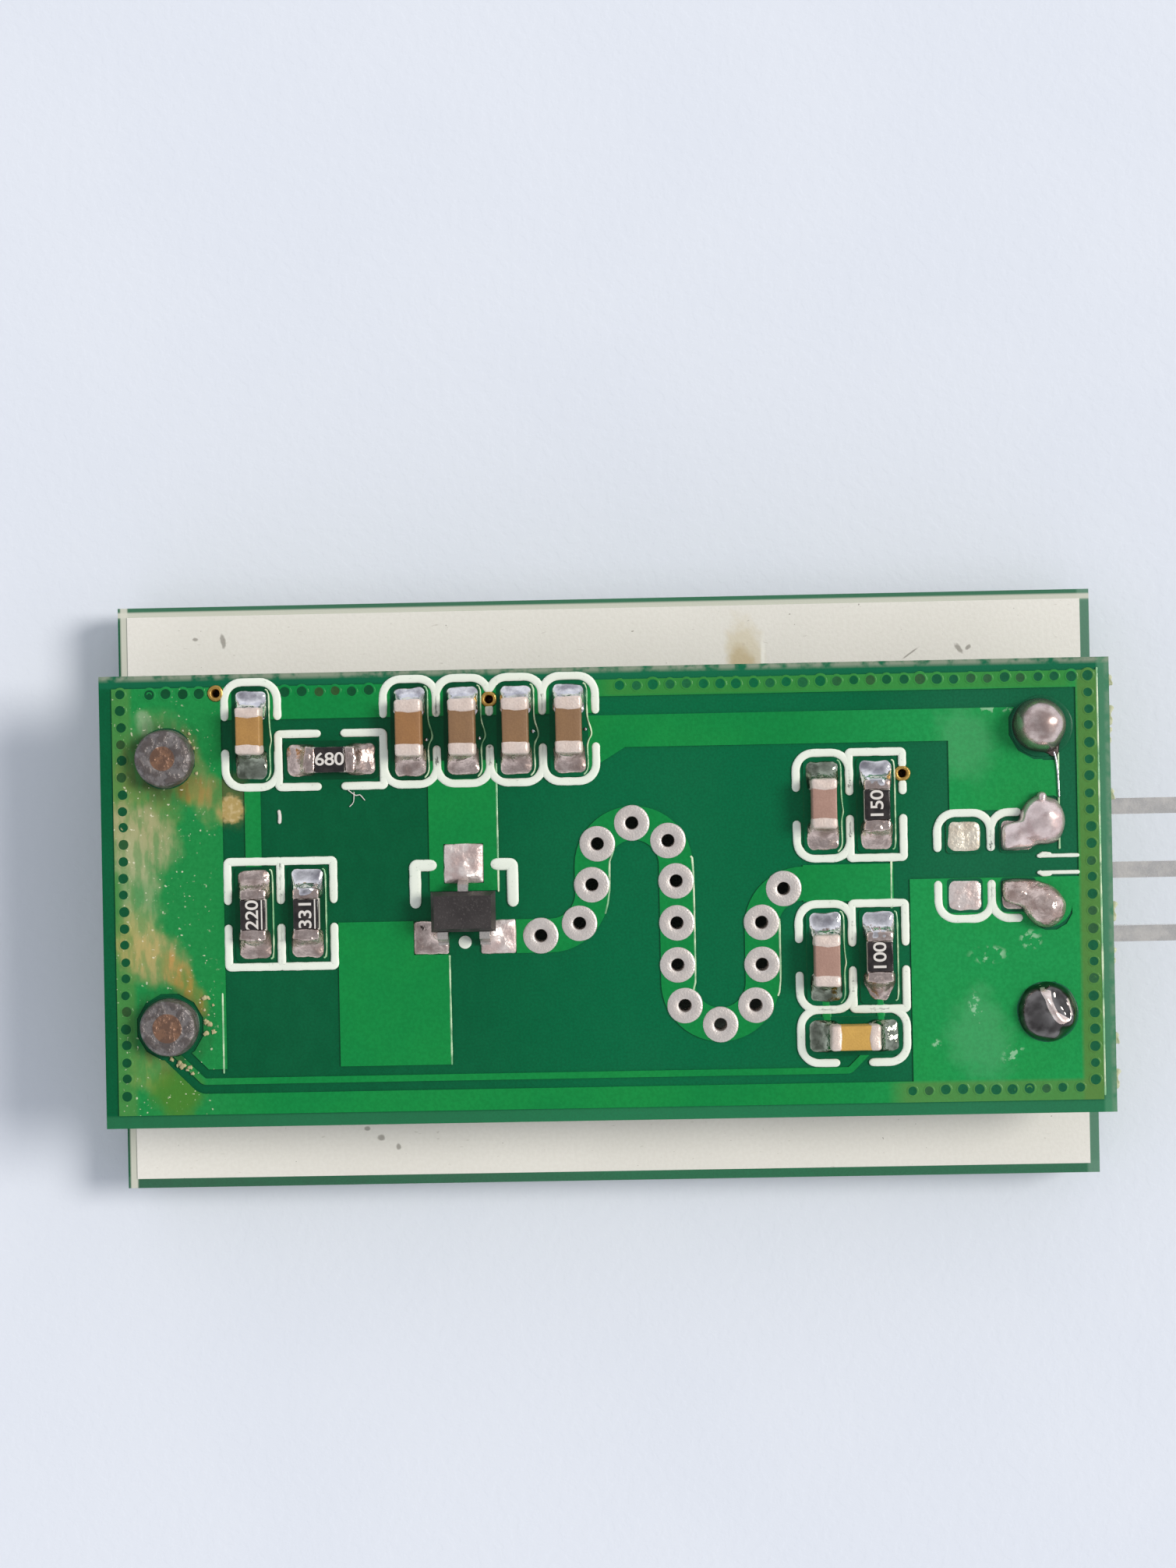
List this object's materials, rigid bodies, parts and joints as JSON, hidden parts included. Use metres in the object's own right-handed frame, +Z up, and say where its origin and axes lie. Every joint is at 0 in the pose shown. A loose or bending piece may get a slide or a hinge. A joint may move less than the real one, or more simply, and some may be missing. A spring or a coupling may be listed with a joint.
{
  "type": "microwave radar sensor module",
  "caption": "Radio board with a serpentine resonator held by wire posts above a wider planar antenna board, with header pins soldered under one end.",
  "frame": {"origin": "on the floor under the middle of the whole module, pins included", "axes": "+X towards the header pins, +Z up through both boards, radio board on top"},
  "size_m": [0.0354, 0.0188, 0.0062],
  "materials": {
    "solder_mask_board": "glass-fibre laminate under glossy dark green solder mask",
    "masked_copper": "copper under the same mask, so a lighter green",
    "tinned_copper": "hot-air levelled tin on copper, uneven and shiny",
    "white_ink": "screen-printed white ink, slightly glossy",
    "white_print": "warm off-white printed coat, slightly glossy",
    "moulded_epoxy": "dark grey moulded epoxy",
    "tinned_leads": "tin-plated leads",
    "solder": "tin solder, dull where it cooled slowly",
    "tinned_wire": "tinned copper wire",
    "plated_pin": "bright tin plating over square brass wire",
    "capacitor_ceramic": "brown fired ceramic with tinned ends",
    "pale_capacitor_ceramic": "tan fired ceramic with tinned ends",
    "resistor_coat": "black overcoat on white ceramic with tinned ends"
  },
  "bodies": {
    "root": {"amplifier_body": "moulded_epoxy", "amplifier_leads": "tinned_leads", "antenna_board": "solder_mask_board", "antenna_patches": "masked_copper", "capacitor_1": "pale_capacitor_ceramic", "capacitor_2": "capacitor_ceramic", "capacitor_3": "capacitor_ceramic", "capacitor_4": "capacitor_ceramic", "capacitor_5": "capacitor_ceramic", "capacitor_6": "capacitor_ceramic", "capacitor_7": "capacitor_ceramic", "capacitor_8": "pale_capacitor_ceramic", "chip_solder": "solder", "component_outlines": "white_ink", "controller_body": "moulded_epoxy", "controller_leads": "tinned_leads", "copper_artwork": "masked_copper", "foot_solder_front_left": "solder", "foot_solder_front_right": "solder", "foot_solder_rear_left": "solder", "foot_solder_rear_right": "solder", "header_pin_1": "plated_pin", "header_pin_2": "plated_pin", "header_pin_3": "plated_pin", "open_vias": "tinned_copper", "pin_solder": "solder", "post_front_left": "tinned_wire", "post_front_right": "tinned_wire", "post_rear_left": "tinned_wire", "post_rear_right": "tinned_wire", "radio_board": "solder_mask_board", "regulator_body": "moulded_epoxy", "regulator_leads": "tinned_leads", "resistor_1": "resistor_coat", "resistor_2": "resistor_coat", "resistor_3": "resistor_coat", "resistor_4": "resistor_coat", "resistor_5": "resistor_coat", "resonator_eyelets": "tinned_copper", "solder_blob_front": "solder", "solder_blob_rear": "solder", "solder_pads": "tinned_copper", "top_solder_front_left": "solder", "top_solder_front_right": "solder", "top_solder_rear_left": "solder", "top_solder_rear_right": "solder", "transistor_body": "moulded_epoxy", "transistor_leads": "tinned_leads", "under_capacitor_1": "capacitor_ceramic", "under_capacitor_2": "capacitor_ceramic", "under_capacitor_3": "capacitor_ceramic", "under_chip_solder": "solder", "under_pads": "tinned_copper", "under_resistor_1": "resistor_coat", "under_resistor_2": "resistor_coat", "under_resistor_3": "resistor_coat", "white_print": "white_print"}
  },
  "joints": []
}
